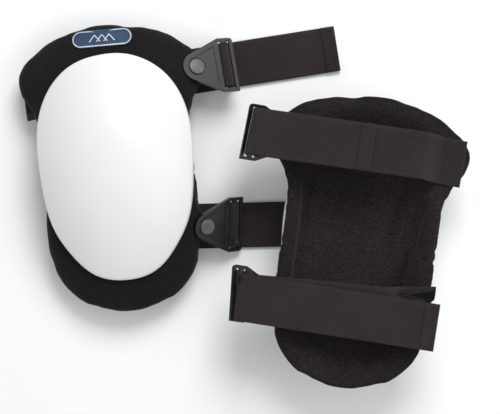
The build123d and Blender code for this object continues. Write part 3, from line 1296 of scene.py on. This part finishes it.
    def samples(self, stations: list[Station]) -> list[Station]:
        """Smooth curve through stations, sampled evenly.

        Args:
            stations: Places on the webbing's middle line.

        Returns:
            Closer places, each with its direction and width direction square.
        """
        fine = []
        for first, last in zip(stations, stations[1:]):
            chord = (last.point - first.point).length
            count = max(2, math.ceil(chord / self.sample))
            start, stop = first.along.normalized() * chord, last.along.normalized() * chord
            for step in range(count):
                t = step / count
                point = (
                    first.point * (2 * t**3 - 3 * t**2 + 1)
                    + start * (t**3 - 2 * t**2 + t)
                    + last.point * (3 * t**2 - 2 * t**3)
                    + stop * (t**3 - t**2)
                )
                across = first.across.lerp(last.across, smooth_step(t, 0, 1))
                fine.append(Station(point, Vector(), across))
        fine.append(stations[-1])
        for index, station in enumerate(fine):
            before = fine[max(0, index - 1)].point
            after = fine[min(len(fine) - 1, index + 1)].point
            along = (after - before).normalized()
            across = station.across - along * station.across.dot(along)
            fine[index] = Station(station.point, along, across.normalized())
        return fine

    def section(self) -> list[tuple[float, float]]:
        """Closed outline of the webbing's section: flat, with rounded thicker edges.

        Returns:
            Points across and through the webbing.
        """
        half, flat = self.width / 2, self.thickness / 2
        top = []
        for column in range(self.columns + 1):
            share = math.sin(math.pi / 2 * (2 * column / self.columns - 1))
            edge = abs(share)
            thick = (1 - self.flat_share) * smooth_step(edge, 0.86, 0.95)
            lift = flat * (self.flat_share + thick)
            lift *= math.sqrt(max(0.0, 1 - smooth_step(edge, 0.955, 1.0) * 0.85))
            top.append((share * half, lift))
        return top + [(x, -z) for x, z in reversed(top)]

    def to_edge(self, point: Vector, to_row: Matrix, tree: BVHTree, past: float) -> float:
        """How far a point at the sewn end moves along X to lie over the pad's edge.

        Args:
            point: The point, in the pad's frame.
            to_row: The matrix from the pad's frame to the row frame.
            tree: The padding.
            past: How far past the edge the webbing starts.

        Returns:
            The move, held to the most that is trimmed.
        """
        start = Vector((-0.13, point.y, point.z + 0.004))
        hit = tree.ray_cast(to_row @ start, to_row.to_3x3() @ Vector((1, 0, 0)))[0]
        shift = (to_row.inverted() @ hit).x - past - point.x if hit else 0.0
        return min(self.most_trim, max(-self.most_trim, shift))

    def rest_on(self, fine: list[Station], to_row: Matrix, tree: BVHTree) -> None:
        """Raise the webbing's sewn end off the padding that it would sink into.

        Args:
            fine: The webbing's places, which are replaced.
            to_row: The matrix from the pad's frame to the row frame.
            tree: The padding.
        """
        back, up = to_row.inverted(), to_row.to_3x3() @ Vector((0, 0, 1))
        pushes = []
        for station in fine[: self.resting_samples]:
            push = 0.0
            for step in range(-4, 5):
                spot = station.point + station.across * (self.width * step / 8)
                hit = tree.ray_cast(to_row @ (spot - Vector((0, 0, 0.03))), up)[0]
                sunk = spot.z + self.resting_gap - (back @ hit).z if hit else 0.0
                push = max(push, min(sunk, self.most_rest))
            pushes.append(push)
        count = len(pushes)
        widest = [max(pushes[max(0, i - 3) : i + 4]) for i in range(count)]
        widest += [0.0] * 8
        for index in range(count + 4):
            near = widest[max(0, index - 4) : index + 5]
            station = fine[index]
            raised = station.point - Vector((0, 0, sum(near) / len(near)))
            fine[index] = Station(raised, station.along, station.across)

    def ribbon(
        self,
        stations: list[Station],
        name: str,
        to_row: Matrix,
        tree: BVHTree | None = None,
        past: float = 0.0,
    ) -> bpy.types.Object:
        """Webbing through stations, its UV map in metres along and across.

        Args:
            stations: Places in the pad's frame.
            name: The piece's name.
            to_row: The matrix from the pad's frame to the row frame.
            tree: The padding, where the webbing starts at the pad's edge.
            past: How far the webbing starts past that edge.

        Returns:
            The piece.
        """
        fine = self.samples(stations)
        if tree:
            self.rest_on(fine, to_row, tree)
        section = self.section()
        shape = bmesh.new()
        uv = shape.loops.layers.uv.new("cloth")
        ring = [shape.verts.new((x, z, 0)) for x, z in section]
        edges = [shape.edges.new((ring[i], ring[i - 1])) for i in range(len(ring))]
        place = {}
        length = 0.0
        for index, station in enumerate(fine):
            if index:
                length += (station.point - fine[index - 1].point).length
                made = bmesh.ops.extrude_edge_only(shape, edges=edges)["geom"]
                edges = [g for g in made if isinstance(g, bmesh.types.BMEdge)]
                fresh = [g for g in made if isinstance(g, bmesh.types.BMVert)]
                ring = self.in_order(ring, fresh)
            up = station.along.cross(station.across)
            for vertex, (x, z) in zip(ring, section):
                vertex.co = station.point + station.across * x - up * z
                place[vertex] = (length, x)
            if tree and index == 0:
                shifts = [self.to_edge(vertex.co, to_row, tree, past) for vertex in ring]
            if tree and length < self.trimmed_length:
                left = 1 - length / self.trimmed_length
                for vertex, shift in zip(ring, shifts):
                    vertex.co = vertex.co + station.along * (shift * left)
            if index == 0:
                bmesh.ops.contextual_create(shape, geom=edges)
        bmesh.ops.contextual_create(shape, geom=edges)
        for face in shape.faces:
            if len(face.verts) > 4:
                for edge in face.edges:
                    edge.smooth = False
            for loop in face.loops:
                loop[uv].uv = place[loop.vert]
        bmesh.ops.recalc_face_normals(shape, faces=shape.faces)
        bmesh.ops.transform(shape, matrix=to_row, verts=shape.verts)
        for vertex in shape.verts:
            vertex.co.z = max(vertex.co.z, 0.0)
        return piece_from(shape, name, ["webbing"])

    def in_order(self, ring: list, fresh: list) -> list:
        """New ring's points in the same order as the ring they were extruded from.

        Args:
            ring: The old ring, in order.
            fresh: The new points, in any order.

        Returns:
            The new points in order.
        """
        new = set(fresh)
        ordered = []
        for vertex in ring:
            partner = [e.other_vert(vertex) for e in vertex.link_edges]
            ordered.append(next(p for p in partner if p in new))
        return ordered

    def stitches(
        self, rows: list[tuple[Vector, Vector, Vector]], name: str, to_row: Matrix
    ) -> bpy.types.Object:
        """Thread stitches along rows.

        Args:
            rows: Start, end and outward direction of each row, in the pad's frame.
            name: The piece's name.
            to_row: The matrix from the pad's frame to the row frame.

        Returns:
            The thread.
        """
        shape = bmesh.new()
        for start, end, out in rows:
            run = end - start
            count = max(2, round(run.length / self.stitch_pitch))
            for index in range(count):
                middle = start + run * (index + 0.5) / count
                frame = frame_matrix(middle, run.normalized(), out)
                scale = Matrix.Diagonal((*self.stitch_size, 1))
                bmesh.ops.create_uvsphere(
                    shape, u_segments=8, v_segments=5, radius=1.0, matrix=to_row @ frame @ scale
                )
        bmesh.ops.recalc_face_normals(shape, faces=shape.faces)
        return piece_from(shape, name, ["thread"])

    def build(self, lie: Lie, to_row: Matrix, floor: float, padding: bpy.types.Object) -> None:
        """Make one strap's webbing, tab and stitching, and set what the tab's hem, hook tape and
        stitching ride on.

        Args:
            lie: How the strap lies.
            to_row: The matrix from the pad's frame to the row frame.
            floor: Height that the pad's straps lie at, in the pad's frame.
            padding: The padded body it is sewn to.
        """
        key = lie.key
        threaded, free, places = self.route(lie, floor)
        tree = BVHTree.FromObject(padding, bpy.context.evaluated_depsgraph_get())
        body = self.ribbon(threaded, f"{key}_webbing", to_row, tree, lie.past_edge)
        nodes = [f"{key}_strap"] + ([f"{key}_strap_loop"] if lie.fastened else [])
        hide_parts(*nodes)
        start, end = to_row @ places["inboard"], to_row @ places["slot"]
        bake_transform(body)
        tail = self.ribbon(free, f"{key}_free_end", to_row)
        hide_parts(f"{key}_strap_end", f"{key}_tab")
        parent = lie.pad if lie.fastened else f"{key}_plate"
        if lie.tab_flexes:
            reach = places["way"] * self.peel_half
            start, end = to_row @ (places["seam"] - reach), to_row @ (places["seam"] + reach)
            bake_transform(tail)
        else:
            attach(tail, parent)
        carrier = f"{key}_tab" if lie.tab_flexes else parent
        self.sew(lie, places, to_row, carrier)
        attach(self.hem(lie, places, to_row), carrier)
        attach(self.hook_patch(lie, places, to_row), carrier)

    def hem(self, lie: Lie, places: dict, to_row: Matrix) -> bpy.types.Object:
        """Make the turned-over end of one tab.

        Args:
            lie: How the strap lies.
            places: Named places on the strap.
            to_row: The matrix from the pad's frame to the row frame.

        Returns:
            The hem.
        """
        side = 1 if lie.fastened else -1
        offset = places["outer"] * (self.thickness * self.hem_lift * side)
        ends = [places["seam"].lerp(places["end"], share) + offset for share in self.hem_shares]
        stations = [Station(end, places["way"], places["across"]) for end in ends]
        return self.ribbon(stations, f"{lie.key}_hem", to_row)

    def hook_patch(self, lie: Lie, places: dict, to_row: Matrix) -> bpy.types.Object:
        """Make the hook tape under one tab.

        Args:
            lie: How the strap lies.
            places: Named places on the strap.
            to_row: The matrix from the pad's frame to the row frame.

        Returns:
            The hook tape.
        """
        side = places["outer"] * (-1 if lie.fastened else 1)
        middle = places["seam"].lerp(places["end"], 0.5)
        middle = middle + side * (self.thickness + self.hooks) / 2
        frame = frame_matrix(middle, places["way"], side)
        length, width = self.tab - self.hook_margins[0], self.width - self.hook_margins[1]
        size = Matrix.Diagonal((length, width, self.hooks, 1))
        shape = bmesh.new()
        bmesh.ops.create_cube(shape, size=1.0, matrix=size)
        round_edges(shape, shape.edges[:], self.hook_round)
        bmesh.ops.transform(shape, matrix=to_row @ frame, verts=shape.verts)
        bmesh.ops.recalc_face_normals(shape, faces=shape.faces)
        piece = piece_from(shape, f"{lie.key}_hook_tape", ["hooks"])
        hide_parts(f"{lie.key}_hook_patch")
        return piece

    def sew(self, lie: Lie, places: dict, to_row: Matrix, carrier: str) -> None:
        """Stitch both faces of the tab, and the strap's sewn end.

        Args:
            lie: How the strap lies.
            places: Named places on the strap.
            to_row: The matrix from the pad's frame to the row frame.
            carrier: The body that the tab's stitching rides on.
        """
        half = self.width / 2 - self.row_margin
        face = self.thickness / 2
        across = places["across"]
        for sides in (1, -1):
            out = places["outer"] * sides
            hem = self.thickness * self.hem_lift if (sides == 1) == lie.fastened else 0.0
            proud = out * (face + hem)
            first, last = (
                places["seam"].lerp(places["end"], share) + proud for share in self.row_shares
            )
            rows = []
            for middle in (first, last):
                rows.append((middle - across * half, middle + across * half, out))
            for side in (-half, half):
                rows.append((first + across * side, last + across * side, out))
            word = "outer" if sides == 1 else "inner"
            thread = self.stitches(rows, f"{lie.key}_tab_stitching_{word}", to_row)
            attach(thread, carrier)
        rows = []
        side = places["sewn_across"] * half
        out = -places["sewn_way"].cross(places["sewn_across"])
        for inset in self.anchor_rows:
            middle = places["sewn"] + places["sewn_way"] * inset + Vector((0, 0, -face))
            rows.append((middle - side, middle + side, out))
        thread = self.stitches(rows, f"{lie.key}_anchor_stitching", to_row)
        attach(thread, lie.pad)


# ---------------------------------------------------------------- plates and rivets


@dataclass
class Fittings:
    """Moulded plates, rivets, washers and the cap's foam."""

    edge_round: float = 0.0004
    flat_angle: float = math.radians(1)
    sharp_angle: float = math.radians(38)
    node_finishes: tuple = (("washer", "washer"), ("cap_cushion", "foam"))

    def plate(self, key: str) -> None:
        """Round the edges of one strap plate.

        Args:
            key: Name that the strap's nodes and bodies start with.
        """
        shape = node_bmesh(f"{key}_plate")
        bmesh.ops.dissolve_limit(
            shape, angle_limit=self.flat_angle, verts=shape.verts, edges=shape.edges
        )
        piece = piece_from(shape, f"{key}_moulded_plate", ["plate"], smooth=False)
        add_modifier(piece, "BEVEL", width=self.edge_round, segments=3, limit_method="ANGLE")
        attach(piece, f"{key}_plate")
        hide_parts(f"{key}_plate")

    def rivet(self, key: str, pad: str) -> None:
        """Dress one rivet.

        Args:
            key: Name that the strap's nodes and bodies start with.
            pad: The pad's name.
        """
        shape = node_bmesh(f"{key}_rivet")
        piece = piece_from(shape, f"{key}_rivet_head", ["rivet"])
        piece.data.set_sharp_from_angle(angle=self.sharp_angle)
        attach(piece, pad)
        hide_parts(f"{key}_rivet")

    def dress(self, nodes: dict) -> None:
        """Give the CAD nodes that stay their materials.

        Args:
            nodes: The frame's objects by node name.
        """
        for name, node in nodes.items():
            for ending, finish in self.node_finishes:
                if name.endswith(ending):
                    node.data.materials.clear()
                    node.data.materials.append(MATERIALS[finish])


# ---------------------------------------------------------------- studio


@dataclass
class Studio:
    """Pale floor, soft lights and a camera straight above."""

    axis: tuple
    height: float = 1.2
    lens: float = 102.1
    floor_half: float = 6.0
    floor_drop: float = 0.0004
    floor_tones: tuple = ((0.9, 0.9, 0.9, 1), (0.88, 0.88, 0.88, 1))
    sky: tuple = (0.95, 0.97, 1.0, 1)
    sky_strength: float = 0.52

    def light(self, name: str, place: tuple, size: float, power: float) -> None:
        """Add a soft square light aimed at the pads.

        Args:
            name: The light's name.
            place: Where it stands.
            size: Its side.
            power: Its power in watts.
        """
        data = bpy.data.lights.new(name, "AREA")
        data.energy = power
        data.size = size
        lamp = bpy.data.objects.new(name, data)
        lamp.location = place
        lamp.rotation_euler = (-Vector(place)).to_track_quat("-Z", "Y").to_euler()
        bpy.context.scene.collection.objects.link(lamp)

    def floor(self) -> None:
        """Add the floor."""
        shape = bmesh.new()
        bmesh.ops.create_grid(shape, x_segments=1, y_segments=1, size=self.floor_half)
        mesh = bpy.data.meshes.new("floor")
        shape.to_mesh(mesh)
        shape.free()
        shader = Shader("floor_paint")
        tone = shader.noise(shader.place(), 3.0)
        colour = shader.blend(tone, *self.floor_tones)
        mesh.materials.append(shader.finish(Base_Color=colour, Roughness=0.9))
        ground = bpy.data.objects.new("floor", mesh)
        ground.location = (0, 0, -self.floor_drop)
        bpy.context.scene.collection.objects.link(ground)

    def build(self) -> None:
        """Make the whole studio."""
        self.floor()
        self.light("key", (0.25, 0.95, 1.10), 0.7, 16.0)
        self.light("fill", (1.1, -0.2, 1.0), 1.2, 4.5)
        self.light("front", (-0.2, -1.1, 0.9), 1.2, 3.0)
        world = bpy.data.worlds.new("studio")
        world.use_nodes = True
        sky = world.node_tree.nodes["Background"]
        sky.inputs["Color"].default_value = self.sky
        sky.inputs["Strength"].default_value = self.sky_strength
        bpy.context.scene.world = world
        bpy.context.scene.view_settings.view_transform = "Standard"
        data = bpy.data.cameras.new("camera")
        data.lens = self.lens
        data.sensor_width = 36.0
        camera = bpy.data.objects.new("camera", data)
        camera.location = (*self.axis, self.height)
        bpy.context.scene.collection.objects.link(camera)
        bpy.context.scene.camera = camera


# ---------------------------------------------------------------- main


def main() -> None:
    """Build the pads around their frame, piece by piece."""
    logging.basicConfig(level=logging.INFO, format="%(name)s: %(message)s")
    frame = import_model()
    record = frame["record"]
    for name, finish in FINISHES.items():
        MATERIALS[name] = finish.build()
    frames = {pad: pad_matrix(record, pad) for pad in ("pad_1", "pad_2")}
    axis = frames["pad_2"].translation.to_2d() - VIEW_OFFSET
    Studio(axis=tuple(axis)).build()
    Fittings().dress(frame["nodes"])
    bodies = PaddedBody().build(frames)
    LOG.info("padded bodies built")
    for pad, to_row in frames.items():
        HardCap().build(pad, to_row)
        Label().build(pad, to_row, bodies[pad])
        LOG.info("%s cap and label built", pad)
    floor = (frames["pad_1"].inverted() @ Vector(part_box("pad_1_upper_strap")[0])).z
    for lie in LIES:
        Strap().build(lie, frames[lie.pad], floor, bodies[lie.pad])
        Fittings().plate(lie.key)
        Fittings().rivet(lie.key, lie.pad)
        LOG.info("%s strap built", lie.key)


if __name__ == "__main__":
    main()
